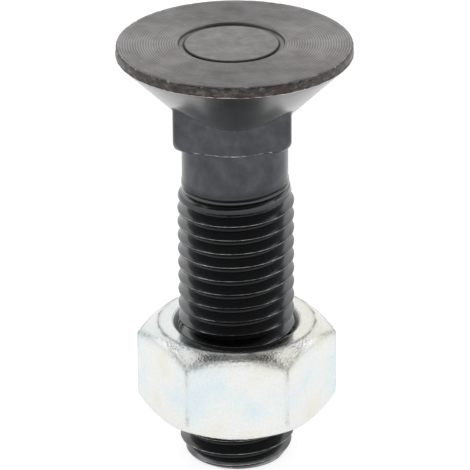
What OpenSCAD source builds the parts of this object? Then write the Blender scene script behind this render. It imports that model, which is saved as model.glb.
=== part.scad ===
// Plow bolt M16 x 60 with its hexagon nut, standing on its threaded end.
// All sizes are in millimetres. +Z runs up the bolt's axis, z = 0 is the flat of the thread end
// and -Y is the side that faces the viewer: a flat of the square neck and a flat of the nut.

/* [Bolt] */
// Overall length, from the thread end to the flat top of the head
bolt_len = 60; // [50:1:90]
// Length of plain shank between the thread and the square neck
plain_len = 6.8; // [3:0.1:14]

/* [Head] */
// Diameter over the rim of the head
head_d = 31.5; // [27:0.1:36]
// Height of the upright rim above the cone
rim_h = 1.3; // [0.8:0.05:2.5]
// Included angle of the countersunk cone, in degrees
cone_angle = 90; // [80:1:100]
// Break of the sharp edge between the flat top and the rim
rim_break = 0.2; // [0.05:0.05:0.5]
// Outer diameter of the sunk ring in the flat top
ring_d = 14.3; // [10:0.1:20]
// Width of the sunk ring
ring_w = 0.8; // [0.4:0.05:1.6]
// Depth of the sunk ring below the pad it runs round
ring_depth = 0.25; // [0.1:0.05:0.6]
// How far the pad inside the ring lies below the flat top
pad_sink = 0.1; // [0:0.05:0.3]

/* [Square neck] */
// How far each flat of the square stands out from the shank
neck_step = 0.76; // [0.6:0.02:2]
// Length of a flat at its middle, from the cone to the lower end
neck_flat = 3.85; // [2.5:0.05:8]
// Radius of the four upright corners
neck_corner_r = 1.2; // [0.4:0.1:2.5]
// Height over which the lower corners are rounded by the heading die
neck_nose = 1.7; // [0.8:0.1:3]
// Forging mismatch: how far the die set the square and the sunk ring to the left of the axis
neck_shift = 0.4; // [0:0.05:0.5]

/* [Thread] */
// Diameter over the rolled crests
thread_d = 15.7; // [14:0.05:20]
// Rise of one turn
pitch = 2; // [1.5:0.05:2.5]
// Height over which the last turn fades into the shank
runout = 2; // [1.5:0.1:4]
// Diameter of the flat left at the thread end
end_d = 13; // [11.5:0.1:14]
// Width of the steep edge round that flat, before the slower taper of the point
end_edge = 0.35; // [0.1:0.05:0.6]

/* [Nut] */
// Width across the flats
nut_s = 23.65; // [21:0.05:30]
// Height of the nut
nut_h = 13; // [8:0.1:18]
// How far the flat ring on each face ends inside the flats
nut_land = 1.1; // [0.3:0.05:1.8]
// Angle of the corner chamfers to the faces, in degrees
nut_chamfer = 34; // [20:1:45]
// Free play between the thread's crests and the nut's bore, on the radius
nut_play = 0.08; // [0.02:0.01:0.1]
// Width of the countersunk mouths of the bore, on the radius
mouth_w = 0.75; // [0.3:0.05:1.2]
// Height of the nut's underside above the thread end
nut_z = 6.6; // [2:0.1:20]

/* [Hidden] */
$fn = 96;

// The thread is rolled on the shank, so the shank has about the thread's middle diameter
shank_d = thread_d - 0.775 * pitch;
root_d = thread_d - 2 * 0.6134 * pitch;
neck_w = shank_d + 2 * neck_step;

// Heights of head and neck, all taken down from the flat top
cone_slope = tan(cone_angle / 2);
rim_low = bolt_len - rim_h;
cone_low = rim_low - (head_d - root_d) / 2 / cone_slope;
flat_top = rim_low - (head_d - neck_w) / 2 / cone_slope;
neck_low = flat_top - neck_flat;
neck_reach = neck_w / sqrt(2) + neck_shift;
neck_buried = rim_low - (head_d / 2 - neck_reach) / cone_slope;
corner_out = (neck_w / 2 - neck_corner_r) * (sqrt(2) - 1);

// The thread's core laps into the shank, and its run-out ends just under the shank's surface
join_z = neck_low - plain_len;
lap = 0.15 * pitch;
thread_top = join_z + lap;
fade_r = shank_d / 2 - 0.06 * pitch;

// Grid of the thread: columns around, four rows a turn, each row following the helix
steps = 48;
crest_z = 0.64 * pitch;
row_at = [-0.0625, 0.0625, 0.4165, 0.5835];
row_r = [thread_d / 2, thread_d / 2, root_d / 2, root_d / 2];
rows = 4 * (ceil(thread_top / pitch) + 4);
snap = 0.04 * pitch;
low_ring = rows * steps;
top_ring = low_ring + steps;

function row_z(i, j) = crest_z + pitch * (floor(i / 4) - 2 + row_at[i % 4] + j / steps);
function fade(z) = max(0, min(1, (join_z - z) / runout));
function rolled_r(i, z) = fade_r + fade(z) * (row_r[i % 4] - fade_r);
function point_r(z) = end_d / 2 + min(1.2 * z, end_edge + 0.4 * z);
function thread_r(i, z) = min(rolled_r(i, z), point_r(max(z, 0)));
function around(j, r, z) = [r * cos(360 * j / steps), r * sin(360 * j / steps), z];

// A point past either end of the thread is drawn in to the ring that closes that end
function seat(i, j) =
    row_z(i, j) < snap ? low_ring + j :
    row_z(i, j) > thread_top - snap ? top_ring + j :
    i * steps + j;
function next_seat(i, j) = j + 1 < steps ? seat(i, j + 1) : seat(i + 4, 0);
function whole(f) = f[0] != f[1] && f[1] != f[2] && f[2] != f[0];

thread_points = concat(
    [for (i = [0:rows - 1]) for (j = [0:steps - 1]) around(j, thread_r(i, row_z(i, j)), row_z(i, j))],
    [for (j = [0:steps - 1]) around(j, end_d / 2, 0)],
    [for (j = [0:steps - 1]) around(j, fade_r, thread_top)]
);
thread_sides = [
    for (i = [0:rows - 2]) for (j = [0:steps - 1])
        for (f = [
            [seat(i, j), seat(i + 1, j), next_seat(i + 1, j)],
            [seat(i, j), next_seat(i + 1, j), next_seat(i, j)]
        ])
            if (whole(f)) f
];
thread_ends = [
    [for (j = [0:steps - 1]) low_ring + j],
    [for (j = [0:steps - 1]) top_ring + steps - 1 - j]
];

// Rounded square: the four corners in turn, each a quarter arc
corner_at = neck_w / 2 - neck_corner_r;
corner_dir = [[1, 1], [-1, 1], [-1, -1], [1, -1]];
neck_outline = [
    for (q = [0:3]) for (a = [0:15:90])
        [
            corner_dir[q][0] * corner_at + neck_corner_r * cos(90 * q + a),
            corner_dir[q][1] * corner_at + neck_corner_r * sin(90 * q + a)
        ]
];

// Nut: chamfers and bore
nut_corner_d = nut_s / cos(30);
nut_face_r = nut_s / 2 - nut_land;
bore_r = thread_d / 2 + nut_play;
mouth_cut = 0.8 * mouth_w;

// Flat countersunk head, its cone running down to the neck; the die sinks a ring round a pad in its top
module head() {
    difference() {
        rotate_extrude()
            polygon([
                [0, bolt_len],
                [head_d / 2 - rim_break, bolt_len],
                [head_d / 2, bolt_len - rim_break],
                [head_d / 2, rim_low],
                [root_d / 2, cone_low],
                [0, cone_low]
            ]);
        translate([-neck_shift, 0, bolt_len])
            rotate_extrude()
                polygon([
                    [0, -pad_sink],
                    [ring_d / 2 - ring_w, -pad_sink],
                    [ring_d / 2 - ring_w, -pad_sink - ring_depth],
                    [ring_d / 2, -pad_sink - ring_depth],
                    [ring_d / 2, 1],
                    [0, 1]
                ]);
    }
}

// Square neck: an upright prism whose lower corners the heading die has rounded
module neck() {
    translate([-neck_shift, 0, 0])
        intersection() {
            translate([0, 0, neck_low])
                linear_extrude(height = neck_buried - neck_low)
                    polygon(neck_outline);
            translate([0, 0, neck_low])
                rotate_extrude()
                    polygon([
                        [0, 0],
                        [neck_w / 2 - 0.1, 0],
                        [neck_w / 2 + 0.3 * corner_out, 0.1 * neck_nose],
                        [neck_w / 2 + 0.56 * corner_out, 0.19 * neck_nose],
                        [neck_w / 2 + 0.72 * corner_out, 0.28 * neck_nose],
                        [neck_w / 2 + 0.84 * corner_out, 0.42 * neck_nose],
                        [neck_w / 2 + 0.93 * corner_out, 0.62 * neck_nose],
                        [neck_w / 2 + 1.01 * corner_out, neck_nose],
                        [neck_w, 1.05 * neck_nose],
                        [neck_w, bolt_len],
                        [0, bolt_len]
                    ]);
        }
}

// Plain shank from the thread's run-out up into the neck
module shank() {
    translate([0, 0, join_z])
        cylinder(d = shank_d, h = plain_len + neck_flat / 2);
}

// Right-hand rolled thread with a tapered point, one closed skin
module thread() {
    polyhedron(points = thread_points, faces = concat(thread_sides, thread_ends), convexity = 10);
}

module plow_bolt() {
    color([0.22, 0.23, 0.25])
        union() {
            head();
            neck();
            shank();
            thread();
        }
}

// Hexagon nut: chamfered on both faces, its bore countersunk at both ends
module hex_nut() {
    color([0.80, 0.81, 0.82])
        translate([0, 0, nut_z])
            difference() {
                intersection() {
                    cylinder(d = nut_corner_d, h = nut_h, $fn = 6);
                    rotate_extrude()
                        polygon([
                            [0, 0],
                            [nut_face_r, 0],
                            [nut_face_r + nut_h / 2 / tan(nut_chamfer), nut_h / 2],
                            [nut_face_r, nut_h],
                            [0, nut_h]
                        ]);
                }
                rotate_extrude()
                    polygon([
                        [0, -mouth_cut],
                        [bore_r + 2 * mouth_w, -mouth_cut],
                        [bore_r, mouth_cut],
                        [bore_r, nut_h - mouth_cut],
                        [bore_r + 2 * mouth_w, nut_h + mouth_cut],
                        [0, nut_h + mouth_cut]
                    ]);
            }
}

plow_bolt();
hex_nut();
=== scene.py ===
import math

import bpy
import numpy as np
from mathutils import Matrix, Vector, noise


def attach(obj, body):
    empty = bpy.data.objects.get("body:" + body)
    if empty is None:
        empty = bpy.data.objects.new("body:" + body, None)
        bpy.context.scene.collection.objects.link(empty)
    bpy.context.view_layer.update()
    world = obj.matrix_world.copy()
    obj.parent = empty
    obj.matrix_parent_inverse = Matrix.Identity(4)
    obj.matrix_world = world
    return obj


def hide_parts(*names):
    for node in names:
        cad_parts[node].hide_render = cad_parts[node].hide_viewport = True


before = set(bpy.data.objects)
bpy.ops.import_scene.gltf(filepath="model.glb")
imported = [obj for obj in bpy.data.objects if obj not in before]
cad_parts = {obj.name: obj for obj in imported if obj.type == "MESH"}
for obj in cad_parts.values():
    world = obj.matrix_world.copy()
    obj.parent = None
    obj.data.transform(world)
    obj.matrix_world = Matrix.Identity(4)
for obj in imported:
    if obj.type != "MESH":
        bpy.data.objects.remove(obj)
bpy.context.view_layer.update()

# The bolt: one piece of steel, upset hot in a die that forms cone and square, faced on its top in a
# lathe, its thread rolled, then hardened and blackened in oil. It stands upright on its thread end.
# Sizes are in millimetres, z = 0 is the thread end and -y the side that faces the viewer.
MM = 0.001
bolt_len = 60.0
head_r = 15.75
rim_low = 58.7
ring_at = (-0.4, 0.3)
neck_at = np.array((-0.4, 0.0))
neck_half = 7.835
neck_corner = 1.2
neck_low = 47.085
shank_r = 7.075
crest_r = 7.85
root_r = 6.55
pitch = 2.0
crest_at = 1.28
join_z = 40.38
end_r = 6.5

# The bolt's finishes, numbered as its material slots
FACED, RIM, OXIDE, THREAD, STRUCK, OILED = range(6)

around = 180
turn = np.arange(around) * 2 * np.pi / around
ray = np.column_stack([np.cos(turn), np.sin(turn)])
points, marks, faces, zones = [], [], [], []


def ring(radius, height, centre=(0, 0), mark=0.0, towards=None):
    """One closed ring of points; radius, height and mark are single values or one for each direction.
    A mark above zero means worn to the steel, along some edges and crests also a painted highlight; one
    below zero means dirty, rusted or scuffed, in hollows, creases, under lips and on the thread also
    painted shade, and on the cone a painted pale sheen."""
    first = len(points)
    way = ray if towards is None else towards
    plan = np.asarray(centre) + way * np.broadcast_to(radius, around)[:, None]
    points.extend(np.column_stack([plan, np.broadcast_to(height, around)]).tolist())
    marks.extend(np.broadcast_to(mark, around).tolist())
    return list(range(first, first + around))


def skin(rings, zone):
    """Faces between rings that follow each other from the top down."""
    for upper, lower in zip(rings, rings[1:]):
        for j in range(around):
            k = (j + 1) % around
            faces.append((upper[j], lower[j], lower[k], upper[k]))
            zones.append(zone)


def cap(edge, zone, up):
    """A fan of faces that closes a ring at its own height."""
    points.append(np.mean([points[p] for p in edge], axis=0).tolist())
    marks.append(0.0)
    for a, b in zip(edge, edge[1:] + edge[:1]):
        faces.append((len(points) - 1, a, b) if up else (len(points) - 1, b, a))
        zones.append(zone)


def rough(radius, height, size, seed):
    """Smooth chance values round the axis, about -1 to 1, with bumps of a size in millimetres."""
    return np.array([
        noise.noise(Vector((x * radius / size, y * radius / size, height / size + seed))) for x, y in ray
    ]) * 1.6


# Flat top: a pad in the middle, a ring the die has sunk round it, and the wide land faced in the lathe.
# The pad's numbers are radius, depth below the land, and mark.
# Below zero, the sunk ring's walls and corners are darkened: dirt and painted shade.
pad = [ring(r, bolt_len - depth, ring_at, mark) for r, depth, mark in (
    (0.5, 0.1, 0.0), (2.0, 0.1, 0.0), (4.0, 0.1, 0.0), (5.4, 0.1, 0.0), (5.95, 0.1, 0.0),
    (6.15, 0.11, -0.2), (6.25, 0.15, -0.8), (6.32, 0.3, -1.0), (6.4, 0.33, -1.0), (6.52, 0.32, -0.3),
    (6.75, 0.3, -0.1), (6.92, 0.28, -0.3), (7.01, 0.24, -0.9), (7.08, 0.06, -0.7), (7.14, 0.01, -0.1),
    (7.25, 0.0, 0.0))]
cap(pad[0], STRUCK, True)
skin(pad, STRUCK)
chip = np.clip(rough(head_r, 0.0, 0.9, 3.0) - 0.35, 0, None)
land = [pad[-1]] + [ring(r, bolt_len) for r in (7.9, 9.5, 11.0, 12.5, 14.0, 14.9)]
land.append(ring(head_r - 0.2 - 0.25 * chip, bolt_len - 0.01, mark=0.46))
skin(land, FACED)

# Rim: left as forged, pitted, with a spot of rust near the front, its upper edge broken off here and
# there and its lower edge knocked bright, partly a painted highlight. The numbers are height, size of the
# pits, and seed.
rust_at = math.radians(293)
rust_half = 1.1
rust = np.exp(-((turn - rust_at) * head_r / rust_half) ** 4)
rim = [land[-1], ring(head_r - 0.1 - 0.2 * chip, bolt_len - 0.09 - 0.2 * chip, mark=0.38)]
for z, size, seed in ((59.7, 0.9, 1.0), (59.5, 0.7, 2.0), (59.28, 0.8, 5.0), (59.06, 0.7, 7.0),
                      (58.88, 0.8, 9.0)):
    pitted = 0.06 * rough(head_r, z, size, seed)
    uneven = 0.05 * rough(head_r, z, 1.4, seed)
    rim.append(ring(head_r - 0.05 + pitted, z + uneven, mark=-rust))
lip = 0.03 * rough(head_r, 3.0, 0.8, 4.0)
# The lower edge's rings: worn steel drawn as a nearly unbroken bright line, partly a painted highlight.
rim.append(ring(head_r + 0.01 + lip, rim_low + 0.07, mark=0.46))
rim.append(ring(head_r - 0.01 + lip, rim_low - 0.02, mark=0.76))
skin(rim, RIM)

# Square neck in plan: four flats with rounded corners, pushed a little to the left by the die
corner = neck_half - neck_corner
neck_plan = []
for q, (sx, sy) in enumerate(((1, 1), (-1, 1), (-1, -1), (1, -1))):
    for a in np.radians(90 * q + np.linspace(0, 90, 25)):
        neck_plan.append((sx * corner + neck_corner * math.cos(a),
                          sy * corner + neck_corner * math.sin(a)))
neck_plan = np.array(neck_plan)
side_of = np.roll(neck_plan, -1, 0) - neck_plan
neck_plan = np.concatenate([neck_plan + side_of * s for s in np.linspace(0, 0.98, 50)])


def square(inset):
    """Distance from the bolt's axis to the square in each direction, the square drawn in by an inset."""
    shrunk = neck_at + neck_plan * (1 - inset / neck_half)
    bearing = np.arctan2(shrunk[:, 1], shrunk[:, 0])
    order = np.argsort(bearing)
    wanted = (turn + np.pi) % (2 * np.pi) - np.pi
    return np.interp(wanted, bearing[order], np.hypot(*shrunk.T)[order], period=2 * np.pi)


neck_r = square(0.0)

# Cone: from the rim down to the curved line where it meets the flats, with a small fillet there.
# The numbers are the share of the way down, or the place beside that line, and how scuffed it is; on the
# cone the scuff is dull and pale, partly a painted sheen, and on the fillet the same mark paints shade
# above the crease.
crease_z = rim_low - (head_r - neck_r)
over_corner = np.exp(-((np.degrees(turn) % 90 - 45) / 22) ** 2)
cone = [rim[-1], ring(head_r - 0.09, rim_low - 0.06)]
for s, scuff_sheen_and_shade in ((0.04, 0.0), (0.2, 0.0), (0.35, 0.05), (0.5, 0.2), (0.65, 0.45), (0.8, 0.75),
                 (0.92, 0.8)):
    cone.append(ring(head_r + (neck_r - head_r) * s, rim_low + (crease_z - rim_low) * s,
                     mark=-scuff_sheen_and_shade * over_corner))
for out, up, scuff_sheen_and_shade in ((0.2, 0.19, 0.4), (0.1, 0.06, 0.0), (0.04, -0.08, 0.0)):
    cone.append(ring(neck_r + out, crease_z + up, mark=-scuff_sheen_and_shade * over_corner))
skin(cone[:-2], OILED)
skin(cone[-3:], OXIDE)

# Sides and underside of the square: the die rounds its lower corners and leaves its lower edge ragged
corner_out = 2.77
lift_slow = 0.55
lift_round = 1.15
round_from = 0.55


def from_middle(radius):
    """How far a ring's points lie from the middle of the square."""
    return np.hypot(*(ray * radius[:, None] - neck_at).T)


def nose(distance):
    """How far the die has lifted the underside of the square at a distance from its middle."""
    out = np.clip((distance - neck_half) / corner_out, 0, 1)
    curl = np.clip((out - round_from) / (1 - round_from), 0, 1)
    return lift_slow * out + lift_round * (1 - np.sqrt(1 - curl ** 2))


past_flat = from_middle(neck_r) - neck_half
torn = 0.08 * rough(neck_half, 0.0, 1.1, 11.0)
# Bright knocks along the lower edge of the flats, partly a painted highlight
burr_and_highlight = 0.6 * np.clip(1.9 - past_flat / 1.5, 0, 1)
soft = 0.1 + 0.65 * np.clip(past_flat / 1.9, 0, 1)
side_top = crease_z - 0.45
side_low = neck_low + nose(from_middle(neck_r)) + soft
neck = [cone[-1], ring(neck_r, side_top)]
for s in (0.1, 0.3, 0.5, 0.7, 0.9, 1.0):
    neck.append(ring(neck_r, side_top + (side_low - side_top) * s))
inset = 0.8
drawn_in = (square(inset) - neck_r) / inset
# The share drawn in, the share of the rounding that is still to come, and whether the edge is knocked
# bright, partly a painted highlight
for inward, above, knocked in ((0.04, 0.72, 0), (0.14, 0.46, 1), (0.29, 0.25, 1), (0.5, 0.1, 1),
                               (0.75, 0.03, 0), (1.0, 0.0, 0)):
    edge = neck_r + drawn_in * inward * soft
    neck.append(ring(edge, neck_low + nose(from_middle(edge)) + above * soft + torn * (1 - above),
                     mark=burr_and_highlight * knocked))
reach = from_middle(edge)
spoke = (ray * edge[:, None] - neck_at) / reach[:, None]
for s in (0.2, 0.4, 0.6, 0.8, 1.0):
    distance = reach + (neck_half - 0.12 - reach) * s
    neck.append(ring(distance, neck_low + nose(distance), neck_at, towards=spoke))
skin(neck, OXIDE)

# Flash: a thin ragged lip where the two dies met under the square, broken off bright, partly a painted
# highlight, with painted shadow in the crevice inside it.
# The numbers are the distance inside the flats, the height on the underside, and mark.
flash = [neck[-1]]
# The last ring's mark below zero paints the shadow in the crevice inside the lip.
for inside, up, mark in ((0.14, -0.08, 0.66), (0.18, -0.14, 0.7), (0.26, -0.12, 0.3), (0.34, 0.08, -1.0)):
    flash.append(ring(neck_half - inside, neck_low + up + torn, neck_at, mark, spoke))
skin(flash, OXIDE)

# Plain shank: it swells a little on its left, and its lower end leans to meet the thread's run-out.
# The numbers are radius added, height, share of the lean, share of the swelling, and mark.
lean = 0.35 * ray[:, 0]
flank = np.clip((np.abs(ray[:, 0]) - 0.78) / 0.22, 0, 1)
swell = 0.17 * flank * (ray[:, 0] < 0)
shank = [flash[-1]]
# The marks below zero paint shadow just under the flash and make the shank darker towards its lower end.
for added, z, leaning, swollen, mark in (
        (0.14, 47.1, 0.0, 0.0, -0.8), (0.02, 46.98, 0.0, 0.6, -0.3), (0.0, 46.7, 0.0, 0.6, 0.0),
        (0.0, 45.0, 0.2, 0.7, 0.0), (0.0, 43.5, 0.5, 0.7, 0.0), (0.0, 42.0, 0.8, 0.7, 0.0),
        (0.0, 41.6, 0.9, 0.75, 0.0), (0.0, 41.2, 1.0, 0.9, -0.08), (0.01, 40.8, 1.0, 1.2, -0.24),
        (0.01, 40.46, 1.0, 1.2, -0.2)):
    shank.append(ring(shank_r + added + swell * swollen, z + lean * leaning, mark=mark))
shank.append(ring(shank_r - 0.11 + 0.14 * flank + swell, 40.42 + lean))
skin(shank, OXIDE)

# Thread: fifteen points a turn that follow the helix. The rolling dies leave a lip along the top of the
# crest, rubbed bright and partly a painted highlight; below it and in the root dirt and painted shade
# darken it, most of all on the side that faces the viewer.
# The numbers are place in the turn, radius, and mark.
profile = (
    (-0.045, crest_r - 0.068, -0.45), (-0.04, crest_r - 0.05, -1.0), (0.0, crest_r - 0.05, -1.0),
    (0.035, crest_r - 0.05, -1.0), (0.06, crest_r - 0.01, 0.46), (0.08, crest_r, 0.5),
    (0.097, crest_r - 0.05, 0.46), (0.11, crest_r - 0.1, 0.0), (0.125, crest_r - 0.152, -0.1),
    (0.411, root_r + 0.156, -0.15), (0.433, root_r + 0.08, -0.4), (0.47, root_r, -0.7),
    (0.586, root_r, -0.7), (0.622, root_r + 0.08, -0.7), (0.644, root_r + 0.156, -0.45))
per_turn = len(profile)
full_z = 37.9
rows = per_turn * (math.ceil(full_z / pitch) + 4)
# The thread's marks are strongest on the side that faces the viewer: painted shade and painted highlight.
in_front = 0.3 + 0.7 * ((1 - ray[:, 1]) / 2) ** 2


def helix_z(i, turned):
    """Height of a row of the thread after a share of a turn."""
    return crest_at + pitch * (i // per_turn - 2 + profile[i % per_turn][0] + turned)


grid = []
for i in range(rows):
    _, radius, mark = profile[i % per_turn]
    z = helix_z(i, turn / (2 * np.pi))
    point_r = end_r + np.minimum(1.2 * z.clip(0), 0.35 + 0.4 * z.clip(0))
    grid.append(ring(np.minimum(radius, point_r), z, mark=mark * in_front))

# Run-out: the last crests are not yet filled, and the dies push up a low bead under the shank; the
# crevice above it is painted dark as shade, and the band above the thread is darker
bead_z = 39.93
bead_half = 0.24
bead_out = 0.22
cut_top = 39.75
blank_r = shank_r - 0.12
offsets, radii, _ = np.array(profile + ((0.955, crest_r - 0.068, 0.0),)).T
run = []
for s in np.linspace(1, 0, 62):
    z = full_z + (join_z + lean - full_z) * s
    climb = ((z - crest_at) / pitch - turn / (2 * np.pi) + 0.045) % 1 - 0.045
    filled = np.interp(z, (38.05, 39.3, 40.3), (crest_r, 7.42, 7.2))
    formed = np.minimum(np.interp(climb, offsets, radii), filled)
    cut = np.clip((cut_top + lean - z) / 0.15, 0, 1)
    above_bead = z - bead_z - 0.9 * lean
    bead = (bead_out - 0.16 * flank) * np.exp(-(above_bead / bead_half) ** 4) + 0.2 * flank
    dirt_and_painted_shade = np.interp(climb, (-0.045, 0.2, 0.25, 0.41, 0.47, 0.586, 0.644, 0.955),
                     (-0.5, -0.5, 0.0, 0.0, -0.7, -0.7, -0.45, -0.5))
    dirt_and_painted_shade = dirt_and_painted_shade * in_front * np.interp(z, (38.9, 39.5), (1, 0.45))
    crevice = np.clip((above_bead - 0.17) / 0.08, 0, 1) * (1 - flank)
    run.append(ring(blank_r + bead + cut * (formed - blank_r - 0.2 * flank), z,
                    mark=np.where(cut > 0, dirt_and_painted_shade, -0.35 - 0.5 * crevice)))
skin([shank[-1]] + run, THREAD)
top_ring = run[-1]
low_ring = ring(end_r, 0.0)


def thread_point(i, j):
    """The grid's point, or the closing ring's where the helix runs past an end of the full thread."""
    if j == around:
        i, j = i + per_turn, 0
    z = helix_z(i, j / around)
    return low_ring[j] if z < 0.03 else top_ring[j] if z > full_z - 0.03 else grid[i][j]


for i in range(rows - 1):
    for j in range(around):
        corners = tuple(dict.fromkeys(
            thread_point(*at) for at in ((i, j), (i, j + 1), (i + 1, j + 1), (i + 1, j))))
        if len(corners) > 2:
            faces.append(corners)
            zones.append(THREAD)
thread_end = [low_ring, ring(end_r - 0.25, 0.0), ring(2.0, 0.0)]
skin(thread_end, OXIDE)
cap(thread_end[-1], OXIDE, False)


def build(name, mesh_name, attribute):
    """A smooth mesh object from the points and faces gathered so far, the marks kept as an attribute."""
    used = sorted({p for f in faces for p in f})
    place = {p: n for n, p in enumerate(used)}
    in_metres = [[c * MM for c in points[p]] for p in used]
    mesh = bpy.data.meshes.new(mesh_name)
    mesh.from_pydata(in_metres, [], [[place[p] for p in f] for f in faces])
    mesh.polygons.foreach_set("material_index", zones)
    mesh.polygons.foreach_set("use_smooth", [True] * len(faces))
    mesh.set_sharp_from_angle(angle=math.radians(40))
    mesh.attributes.new(attribute, "FLOAT", "POINT").data.foreach_set("value", [marks[p] for p in used])
    made = bpy.data.objects.new(name, mesh)
    bpy.context.scene.collection.objects.link(made)
    return made


bolt = build("plow_bolt_forging", "plow_bolt", "bare")


def linear(colour):
    """An sRGB hex colour as the linear values that shaders take."""
    parts = [int(colour[i:i + 2], 16) / 255 for i in (1, 3, 5)]
    return [c / 12.92 if c <= 0.04045 else ((c + 0.055) / 1.055) ** 2.4 for c in parts] + [1.0]


def add(owner, kind, settings, inputs):
    """Adds one shader node: its settings, then its inputs as values or as links from other sockets."""
    tree = owner.node_tree
    made = tree.nodes.new(kind)
    for name, value in settings.items():
        if name == "stops":
            while len(made.color_ramp.elements) < len(value):
                made.color_ramp.elements.new(0.5)
            for element, (at, colour) in zip(made.color_ramp.elements, value):
                element.position, element.color = at, linear(colour)
        else:
            setattr(made, name, value)
    for name, value in inputs.items():
        if isinstance(value, bpy.types.NodeSocket):
            tree.links.new(value, made.inputs[name])
        else:
            made.inputs[name].default_value = value
    return made


def surface(name, values):
    """A new material with its shader's constant values, and the object coordinates for its patterns."""
    material = bpy.data.materials.new(name)
    material.use_nodes = True
    for socket, value in values.items():
        material.node_tree.nodes["Principled BSDF"].inputs[socket].default_value = value
    return material, add(material, "ShaderNodeTexCoord", {}, {}).outputs["Object"]


def wire(material, sockets):
    """Links what varies over the surface to the material's shader."""
    for name, socket in sockets.items():
        material.node_tree.links.new(socket, material.node_tree.nodes["Principled BSDF"].inputs[name])


def chips_and_highlights(material, mark, place, under, steel, size, detail=4.0, first=1.0, full=1.1):
    """The colour under with steel shown in chips of a size in millimetres where the mark is high; along
    some edges and the thread's crests these chips are partly a painted highlight.
    """
    chips = add(material, "ShaderNodeTexNoise", {},
                {"Vector": place, "Scale": 1 / (size * MM), "Detail": detail})
    loose = add(material, "ShaderNodeMath", {"operation": "ADD"}, {0: mark, 1: chips.outputs[0]})
    shown = add(material, "ShaderNodeMapRange", {},
                {"Value": loose.outputs[0], "From Min": first, "From Max": full})
    colour = add(material, "ShaderNodeMix", {"data_type": "RGBA"},
                 {0: shown.outputs[0], 6: under, 7: linear(steel)})
    return colour.outputs[2]


def tinted_below_zero(material, mark, under, below_colour, full=-1.0):
    """The colour under turned to the given colour where the mark goes below zero, and how far it has
    turned; this carries dirt, painted shade in hollows, creases and under lips, and a painted pale sheen
    on the cone.
    """
    share = add(material, "ShaderNodeMapRange", {}, {"Value": mark, "From Min": 0.0, "From Max": full})
    colour = add(material, "ShaderNodeMix", {"data_type": "RGBA"},
                 {0: share.outputs[0], 6: under, 7: linear(below_colour)})
    return colour.outputs[2], share.outputs[0]


# Faced steel, blackened: the lathe's feed leaves fine rings that the thin oxide follows, so the top is a
# satin warm grey, lighter at left and right where the rings tilt towards the bright sides of the room.
feed = 0.345
faced, where = surface("faced_steel_blackened", {
    "Metallic": 1.0, "Roughness": 0.36, "Anisotropic": 0.6, "Anisotropic Rotation": 0.25})
bare = add(faced, "ShaderNodeAttribute", {"attribute_name": "bare"}, {}).outputs["Fac"]
flat = add(faced, "ShaderNodeVectorMath", {"operation": "MULTIPLY"}, {0: where, 1: (1, 1, 0)})
from_axis = add(faced, "ShaderNodeVectorMath", {"operation": "LENGTH"}, {0: flat.outputs[0]})
# A wave of scale 1 turns 20 radians in each unit of length
rings = add(faced, "ShaderNodeTexWave", {"wave_type": "RINGS", "rings_direction": "Z"},
            {"Vector": where, "Scale": 2 * math.pi / (20 * feed * MM), "Distortion": 0.5, "Detail": 2.0,
             "Detail Scale": 0.12})
bands = add(faced, "ShaderNodeTexNoise", {"noise_dimensions": "1D"},
            {"W": from_axis.outputs["Value"], "Scale": 1 / (0.4 * MM), "Detail": 2.0})
mottle = add(faced, "ShaderNodeTexNoise", {},
             {"Vector": where, "Scale": 1 / (1.4 * MM), "Detail": 7.0, "Roughness": 0.6})
tone = add(faced, "ShaderNodeMix", {"data_type": "FLOAT"},
           {0: 0.75, 2: bands.outputs[0], 3: mottle.outputs[0]})
stains = add(faced, "ShaderNodeTexNoise", {},
             {"Vector": where, "Scale": 1 / (3.5 * MM), "Detail": 4.0, "Roughness": 0.6})
stained = add(faced, "ShaderNodeMapRange", {},
              {"Value": stains.outputs[0], "From Min": 0.22, "From Max": 0.78})
tone = add(faced, "ShaderNodeMix", {"data_type": "FLOAT"},
           {0: 0.6, 2: tone.outputs[0], 3: stained.outputs[0]})
tone = add(faced, "ShaderNodeMix", {"data_type": "FLOAT"},
           {0: 0.3, 2: tone.outputs[0], 3: rings.outputs["Fac"]})
colour = add(faced, "ShaderNodeValToRGB", {"stops": ((0.36, "#6d6967"), (0.64, "#949292"))},
             {"Fac": tone.outputs[0]})
colour = chips_and_highlights(faced, bare, where, colour.outputs[0], "#a8a49e", 0.6)
grooves = add(faced, "ShaderNodeBump", {},
              {"Height": bands.outputs[0], "Strength": 1.0, "Distance": 0.03 * MM})
grain = add(faced, "ShaderNodeTexNoise", {}, {"Vector": where, "Scale": 1 / (0.2 * MM), "Detail": 3.0})
bump = add(faced, "ShaderNodeBump", {},
           {"Height": grain.outputs[0], "Strength": 0.5, "Distance": 0.012 * MM,
            "Normal": grooves.outputs[0]})
round_axis = add(faced, "ShaderNodeTangent", {"direction_type": "RADIAL", "axis": "Z"}, {})
wire(faced, {"Base Color": colour, "Normal": bump.outputs[0], "Tangent": round_axis.outputs[0]})

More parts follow.
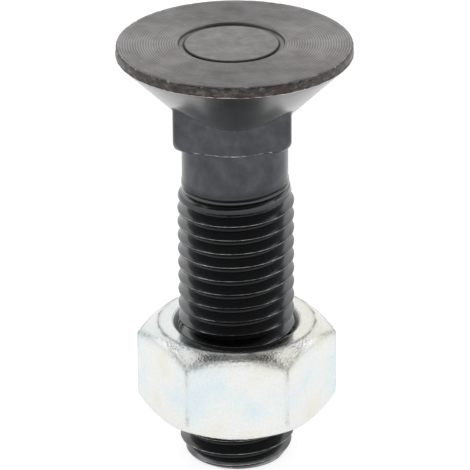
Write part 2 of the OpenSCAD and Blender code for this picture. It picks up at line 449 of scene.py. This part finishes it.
# Forge scale: the rim as it left the die, streaky black and brown oxide with pits and a few bright knocks
scale, where = surface("forge_scale_rim", {
    "Metallic": 0.6, "Roughness": 0.5, "Coat Weight": 0.5, "Coat Roughness": 0.3})
bare = add(scale, "ShaderNodeAttribute", {"attribute_name": "bare"}, {}).outputs["Fac"]
along = add(scale, "ShaderNodeMapping", {}, {"Vector": where, "Scale": (1, 1, 1.8)}).outputs[0]
pits = add(scale, "ShaderNodeTexNoise", {},
           {"Vector": along, "Scale": 1 / (0.9 * MM), "Detail": 6.0, "Roughness": 0.62})
patches = add(scale, "ShaderNodeTexNoise", {}, {"Vector": where, "Scale": 1 / (4.0 * MM), "Detail": 2.0})
black = add(scale, "ShaderNodeValToRGB",
            {"stops": ((0.36, "#1a1716"), (0.52, "#403835"), (0.68, "#6e645e"))},
            {"Fac": pits.outputs[0]})
brown = add(scale, "ShaderNodeValToRGB",
            {"stops": ((0.35, "#2a1d1b"), (0.6, "#402b28"), (0.75, "#5a4a44"))},
            {"Fac": pits.outputs[0]})
browned = add(scale, "ShaderNodeMapRange", {},
              {"Value": patches.outputs[0], "From Min": 0.58, "From Max": 0.68})
rusted = add(scale, "ShaderNodeMapRange", {}, {"Value": bare, "From Min": 0.0, "From Max": -0.6})
browned = add(scale, "ShaderNodeMath", {"operation": "MAXIMUM"},
              {0: browned.outputs[0], 1: rusted.outputs[0]})
colour = add(scale, "ShaderNodeMix", {"data_type": "RGBA"},
             {0: browned.outputs[0], 6: black.outputs[0], 7: brown.outputs[0]})
colour = chips_and_highlights(scale, bare, along, colour.outputs[2], "#c8c5c0", 0.7)
bump = add(scale, "ShaderNodeBump", {},
           {"Height": pits.outputs[0], "Strength": 0.6, "Distance": 0.1 * MM})
wire(scale, {"Base Color": colour, "Normal": bump.outputs[0]})

# Black oxide: square and shank are smooth from the die; a thin blue-black oxide on steel is a dark mirror
# that dims what it faces and turns pale where it is seen along its surface
oxide, where = surface("black_oxide_steel", {"Metallic": 1.0, "Roughness": 0.2})
bare = add(oxide, "ShaderNodeAttribute", {"attribute_name": "bare"}, {}).outputs["Fac"]
clouds = add(oxide, "ShaderNodeTexNoise", {},
             {"Vector": where, "Scale": 1 / (2.2 * MM), "Detail": 7.0, "Roughness": 0.6})
colour = add(oxide, "ShaderNodeValToRGB",
             {"stops": ((0.3, "#434548"), (0.5, "#4d4f53"), (0.7, "#5a5b5f"))},
             {"Fac": clouds.outputs[0]})
# Below zero the colour turns near black: painted shadow under the flash, and a darker band low on the
# shank.
colour, _ = tinted_below_zero(oxide, bare, colour.outputs[0], "#161617", -0.8)
# Above zero, steel shows in chips: knocks and broken flash, partly a painted highlight along the square's
# lower edge.
colour = chips_and_highlights(oxide, bare, where, colour, "#c4c0ba", 0.9)
gloss = add(oxide, "ShaderNodeMapRange", {},
            {"Value": clouds.outputs[0], "From Min": 0.3, "From Max": 0.7, "To Min": 0.16, "To Max": 0.3})
grain = add(oxide, "ShaderNodeTexNoise", {}, {"Vector": where, "Scale": 1 / (0.4 * MM), "Detail": 4.0})
bump = add(oxide, "ShaderNodeBump", {},
           {"Height": grain.outputs[0], "Strength": 0.2, "Distance": 0.03 * MM})
wire(oxide, {"Base Color": colour, "Roughness": gloss.outputs[0], "Normal": bump.outputs[0]})

# Rolled thread: the same oxide, burnished by the dies and wet with oil except where it is darkened, so it
# is a sharper mirror, with bright specks along the crests that are rubbed steel and partly a painted
# highlight; the darkening under the crests and in the roots is dirt and painted shade
thread_oxide, where = surface("rolled_thread_black_oxide", {
    "Metallic": 1.0, "Roughness": 0.17, "Coat Roughness": 0.18})
bare = add(thread_oxide, "ShaderNodeAttribute", {"attribute_name": "bare"}, {}).outputs["Fac"]
# Below zero the colour turns near black: dirt and painted shade under the crests, in the roots and in the
# run-out's crevice.
colour, dirt_and_painted_shade = tinted_below_zero(thread_oxide, bare, linear("#565759"), "#101010")
colour = chips_and_highlights(thread_oxide, bare, where, colour, "#c4c2c0", 0.8, 3.0, 0.8, 1.2)
gloss = add(thread_oxide, "ShaderNodeMapRange", {},
            {"Value": dirt_and_painted_shade, "From Min": 0.5, "To Min": 0.19, "To Max": 0.5})
wet = add(thread_oxide, "ShaderNodeMapRange", {},
          {"Value": dirt_and_painted_shade, "From Max": 0.6, "To Min": 0.8, "To Max": 0.0})
wire(thread_oxide, {"Base Color": colour, "Roughness": gloss.outputs[0], "Coat Weight": wet.outputs[0]})

# Struck pad: the middle of the top as the die left it, plain and matt, with dirt and painted shade in the
# ring round it
struck, where = surface("struck_pad_blackened", {"Metallic": 1.0, "Roughness": 0.42})
bare = add(struck, "ShaderNodeAttribute", {"attribute_name": "bare"}, {}).outputs["Fac"]
mottle = add(struck, "ShaderNodeTexNoise", {},
             {"Vector": where, "Scale": 1 / (1.6 * MM), "Detail": 7.0, "Roughness": 0.6})
colour = add(struck, "ShaderNodeValToRGB", {"stops": ((0.3, "#848281"), (0.7, "#a19f9e"))},
             {"Fac": mottle.outputs[0]})
# Below zero the colour turns near black: dirt and painted shade in the sunk ring.
colour, _ = tinted_below_zero(struck, bare, colour.outputs[0], "#242323")
grain = add(struck, "ShaderNodeTexNoise", {}, {"Vector": where, "Scale": 1 / (0.35 * MM), "Detail": 4.0})
bump = add(struck, "ShaderNodeBump", {},
           {"Height": grain.outputs[0], "Strength": 0.5, "Distance": 0.03 * MM})
wire(struck, {"Base Color": colour, "Normal": bump.outputs[0]})

# Oiled cone: the same oxide under the oil that runs down to the rim, so its sides turn almost white along
# the edge; over the corners of the square the die has scuffed it dull and grey, and that pale grey is
# also a painted sheen
oiled, where = surface("oiled_cone_black_oxide", {
    "Metallic": 1.0, "Roughness": 0.34, "Coat Weight": 1.0, "Coat Roughness": 0.24})
bare = add(oiled, "ShaderNodeAttribute", {"attribute_name": "bare"}, {}).outputs["Fac"]
clouds = add(oiled, "ShaderNodeTexNoise", {},
             {"Vector": where, "Scale": 1 / (2.5 * MM), "Detail": 6.0, "Roughness": 0.6})
colour = add(oiled, "ShaderNodeValToRGB", {"stops": ((0.3, "#4b4c4e"), (0.7, "#5b5b5d"))},
             {"Fac": clouds.outputs[0]})
colour, scuff_sheen_share = tinted_below_zero(oiled, bare, colour.outputs[0], "#b4b3b2")
gloss = add(oiled, "ShaderNodeMapRange", {}, {"Value": scuff_sheen_share, "To Min": 0.34, "To Max": 0.6})
grain = add(oiled, "ShaderNodeTexNoise", {}, {"Vector": where, "Scale": 1 / (0.4 * MM), "Detail": 4.0})
bump = add(oiled, "ShaderNodeBump", {},
           {"Height": grain.outputs[0], "Strength": 0.2, "Distance": 0.03 * MM})
wire(oiled, {"Base Color": colour, "Roughness": gloss.outputs[0], "Normal": bump.outputs[0]})

for material in (faced, scale, oxide, thread_oxide, struck, oiled):
    bolt.data.materials.append(material)
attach(bolt, "bolt")
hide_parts("plow_bolt")

# The nut: a hexagon of steel, formed cold, chamfered on both faces and tapped, then zinc plated and
# passivated. It is screwed on the thread near its end, one flat to the front.
nut_half = 11.825
nut_low = 6.6
nut_high = 19.6
land_r = 10.725
chamfer = math.tan(math.radians(34))
bore_r = 7.93
mouth_r = 8.68
corner_soft = 0.1
edge_low = 0.36

# Directions lie closest together at the six corners
spread = np.linspace(-1, 1, 44, endpoint=False)
turn = np.concatenate([np.radians(60 * q + 30 + 30 * np.sin(np.pi / 2 * spread)) for q in range(6)])
around = len(turn)
ray = np.column_stack([np.cos(turn), np.sin(turn)])
off_flat = turn % np.radians(60) - np.radians(30)
from_corner = np.degrees(np.radians(30) - np.abs(off_flat))
edge_r = nut_half / np.cos(off_flat) - corner_soft * np.exp(-(from_corner / 0.9) ** 2)
points, marks, faces, zones = [], [], [], []


def nut_drop(radius):
    """How far the chamfer lies below the face at a radius."""
    return np.clip(radius - land_r, 0, None) * chamfer


# One half of the nut from the bore out to the flats: radius, depth below the face, and mark
wavy = rough(land_r, 0.0, 1.3, 21.0)
burred = 0.06 * rough(nut_half, 0.0, 0.6, 31.0)
middle = np.exp(-(np.degrees(off_flat) / 13) ** 2)
corner_worn = 0.72 * np.exp(-(from_corner / 2.2) ** 2)
half = [
    (bore_r, 1.6, 0.0), (bore_r, 0.64, 0.0), (bore_r + 0.03, 0.58, 0.0), (bore_r + 0.07, 0.54, -0.5),
    (mouth_r - 0.1, 0.1, -0.32), (mouth_r - 0.03, 0.04, 0.0), (mouth_r + 0.05, 0.0, 0.4),
    (mouth_r + 0.2, 0.0, 0.0), (9.4, 0.0, 0.0), (10.1, 0.0, 0.0), (land_r - 0.2, 0.0, 0.2)]
for past_land, depth, mark in ((-0.07, 0.004, 0.52), (0.04, 0.035, 0.52), (0.15, 0.101, 0.2)):
    half.append((land_r + past_land + 0.05 * wavy, depth + 0.034 * wavy * (past_land > 0.1),
                 np.clip(mark + 0.4 * wavy, 0.2, 1)))
for s, mark in ((0.2, 0.02), (0.4, 0.02), (0.6, 0.04)):
    r = land_r + 0.15 + (edge_r - land_r - 0.15) * s
    half.append((r, nut_drop(r), mark + 0.24 * middle))
for inside, below in ((0.45, 0.0), (0.18, 0.05), (0.0, 0.19)):
    r = edge_r - inside * (0.25 + 0.75 * middle)
    half.append((r, nut_drop(r) + below + burred, 0.68 - 0.43 * middle))
half.append((edge_r, nut_drop(edge_r) + edge_low, np.maximum(corner_worn, 0.5)))

# The whole nut: its upper half, the flats with their corners worn most near the ends, its lower half
nut_rings = [ring(r, nut_high - depth, mark=mark) for r, depth, mark in half]
flat_top = nut_high - nut_drop(edge_r) - edge_low
flat_low = nut_low + nut_drop(edge_r) + edge_low
for s, share, mark in ((0.06, 0.8, 0.25), (0.15, 0.7, 0.0), (0.3, 0.5, 0.0), (0.5, 0.3, 0.0),
                       (0.7, 0.55, 0.0), (0.9, 0.85, 0.0)):
    nut_rings.append(ring(edge_r, flat_top + (flat_low - flat_top) * s,
                          mark=np.maximum(corner_worn * share, mark)))
nut_rings += [ring(r, nut_low + depth, mark=0.3 * mark) for r, depth, mark in reversed(half)]
skin(nut_rings + nut_rings[:1], 0)
nut = build("hex_nut_plated", "hex_nut", "worn")

# Bright zinc plate: pale grainy metal, passivated, with the thinnest tints of blue and straw; along its
# edges the plate is rough and grey, and the mouth of the bore is darker.
# Its crystals are too fine to show, so they are drawn coarser.
crystal = 0.34
zinc, where = surface("zinc_plate_passivated", {"Metallic": 1.0, "Roughness": 0.3})
worn = add(zinc, "ShaderNodeAttribute", {"attribute_name": "worn"}, {}).outputs["Fac"]
tint = add(zinc, "ShaderNodeTexNoise", {"noise_dimensions": "4D"},
           {"Vector": where, "W": 4.0, "Scale": 1 / (5.5 * MM), "Detail": 6.0})
place = add(zinc, "ShaderNodeSeparateXYZ", {}, {0: where})
from_mid = add(zinc, "ShaderNodeMath", {"operation": "SUBTRACT"},
               {0: place.outputs["Z"], 1: (nut_low + nut_high) / 2 * MM})
from_mid = add(zinc, "ShaderNodeMath", {"operation": "ABSOLUTE"}, {0: from_mid.outputs[0]})
straw = add(zinc, "ShaderNodeMapRange", {},
            {"Value": from_mid.outputs[0], "From Min": 1.5 * MM, "From Max": 6.5 * MM, "To Max": 0.09})
tint = add(zinc, "ShaderNodeMath", {"operation": "SUBTRACT"}, {0: tint.outputs[0], 1: straw.outputs[0]})
colour = add(zinc, "ShaderNodeValToRGB",
             {"stops": ((0.27, "#e9e8df"), (0.42, "#ededea"), (0.52, "#e8edec"), (0.66, "#dee9ee"))},
             {"Fac": tint.outputs[0]})
specks = add(zinc, "ShaderNodeTexNoise", {},
             {"Vector": where, "Scale": 1 / (crystal * MM), "Detail": 4.0, "Roughness": 0.65})
speckled = add(zinc, "ShaderNodeMapRange", {},
               {"Value": specks.outputs[0], "From Min": 0.35, "From Max": 0.65, "To Max": 0.85})
rubbed = add(zinc, "ShaderNodeMapRange", {}, {"Value": worn, "From Min": 0.3, "To Min": 0.09})
grey = add(zinc, "ShaderNodeMath", {"operation": "MULTIPLY"},
           {0: rubbed.outputs[0], 1: speckled.outputs[0]})
colour = add(zinc, "ShaderNodeMix", {"data_type": "RGBA"},
             {0: grey.outputs[0], 6: colour.outputs[0], 7: linear("#969894")})
# Below zero the colour turns dark grey, at the mouth of the bore.
colour, _ = tinted_below_zero(zinc, worn, colour.outputs[2], "#3a3a37")
matt = add(zinc, "ShaderNodeMath", {"operation": "ABSOLUTE"}, {0: worn})
gloss = add(zinc, "ShaderNodeMapRange", {},
            {"Value": specks.outputs[0], "From Min": 0.3, "From Max": 0.7, "To Min": 0.1, "To Max": 0.24})
gloss = add(zinc, "ShaderNodeMath", {"operation": "MULTIPLY_ADD"},
            {0: matt.outputs[0], 1: 0.85, 2: gloss.outputs[0]})
lumpy = add(zinc, "ShaderNodeMapRange", {},
            {"Value": worn, "From Max": 0.3, "To Min": 0.06, "To Max": 0.75})
crystals = add(zinc, "ShaderNodeTexVoronoi", {}, {"Vector": where, "Scale": 1 / (crystal * MM)})
grain = add(zinc, "ShaderNodeMix", {"data_type": "FLOAT"},
            {0: 0.6, 2: specks.outputs[0], 3: crystals.outputs["Distance"]})
bump = add(zinc, "ShaderNodeBump", {},
           {"Height": grain.outputs[0], "Strength": lumpy.outputs[0], "Distance": 0.13 * MM})
wire(zinc, {"Base Color": colour, "Roughness": gloss.outputs[0], "Normal": bump.outputs[0]})
nut.data.materials.append(zinc)
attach(nut, "nut")
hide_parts("hex_nut")

# The floor: a wide sheet of white paper that the bolt stands on, just clear of its end. The camera and
# the metal see it as white, and the bolt's faint shadow is left on it.
paper_half = 3.0
floor_mesh = bpy.data.meshes.new("floor")
sheet = [(x * paper_half, y * paper_half, 0) for x, y in ((-1, -1), (1, -1), (1, 1), (-1, 1))]
floor_mesh.from_pydata(sheet, [], [(0, 1, 2, 3)])
floor = bpy.data.objects.new("floor", floor_mesh)
floor.location.z = -0.02 * MM
bpy.context.scene.collection.objects.link(floor)
paper, _ = surface("white_paper", {
    "Base Color": linear("#b9b9b9"), "Metallic": 0.0, "Roughness": 0.9, "Emission Color": (1, 1, 1, 1)})
path = add(paper, "ShaderNodeLightPath", {}, {})
seen = add(paper, "ShaderNodeMath", {"operation": "MAXIMUM"},
           {0: path.outputs["Is Camera Ray"], 1: path.outputs["Is Glossy Ray"]})
seen = add(paper, "ShaderNodeMath", {"operation": "MAXIMUM"},
           {0: seen.outputs[0], 1: path.outputs["Is Transmission Ray"]})
glow = add(paper, "ShaderNodeMath", {"operation": "MULTIPLY"}, {0: seen.outputs[0], 1: 0.75})
wire(paper, {"Emission Strength": glow.outputs[0]})
floor_mesh.materials.append(paper)

# The light: a tent of white cloth that stands all round the bolt, open at its top to a dim ceiling, and
# a soft square lamp high up at each side
cloth_top = math.sin(math.radians(37))
ceiling_low = math.sin(math.radians(47))
world = bpy.data.worlds.new("white_tent")
bpy.context.scene.world = world
world.use_nodes = True
background = world.node_tree.nodes["Background"]
toward = add(world, "ShaderNodeTexCoord", {}, {})
upward = add(world, "ShaderNodeSeparateXYZ", {}, {0: toward.outputs["Generated"]})
cloth = add(world, "ShaderNodeMapRange", {"interpolation_type": "SMOOTHSTEP"},
            {"Value": upward.outputs["Z"], "From Min": cloth_top, "From Max": ceiling_low,
             "To Min": 1.0, "To Max": 0.04})
background.inputs["Color"].default_value = (1, 1, 1, 1)
world.node_tree.links.new(cloth.outputs[0], background.inputs["Strength"])
for side in (-1, 1):
    softbox = bpy.data.lights.new("softbox", "AREA")
    softbox.size = 0.42
    softbox.energy = 0.5
    lamp = bpy.data.objects.new("softbox", softbox)
    lamp.location = side * 0.408, 0.012, 0.438
    lamp.rotation_euler = lamp.location.to_track_quat("Z", "Y").to_euler()
    bpy.context.scene.collection.objects.link(lamp)

# The camera: far off with a long lens and a little above the bolt, its image rolled by less than half a
# degree. It looks a few pixels past the middle of the bolt, so that the bolt fills the picture.
view = bpy.data.cameras.new("camera")
view.sensor_width = 36
view.lens = 311.7
view.clip_end = 10
focal_px = 4069
right_px, up_px = -1.03, 14.65
lift = math.radians(24.895)
roll = math.radians(-0.414)
ahead = Vector((0, math.cos(lift), -math.sin(lift)))
right = Vector((1, 0, 0))
up = right.cross(ahead)
eye = Vector((0, 0, bolt_len / 2 * MM)) - ahead * 549.1 * MM
right, up = right * math.cos(roll) + up * math.sin(roll), up * math.cos(roll) - right * math.sin(roll)
ahead = (ahead * focal_px + right * right_px + up * up_px).normalized()
right = ahead.cross(up).normalized()
up = right.cross(ahead)
camera = bpy.data.objects.new("camera", view)
camera.matrix_world = Matrix.Translation(eye) @ Matrix((right, up, -ahead)).transposed().to_4x4()
bpy.context.scene.collection.objects.link(camera)
bpy.context.scene.camera = camera
bpy.context.scene.view_settings.view_transform = "Standard"
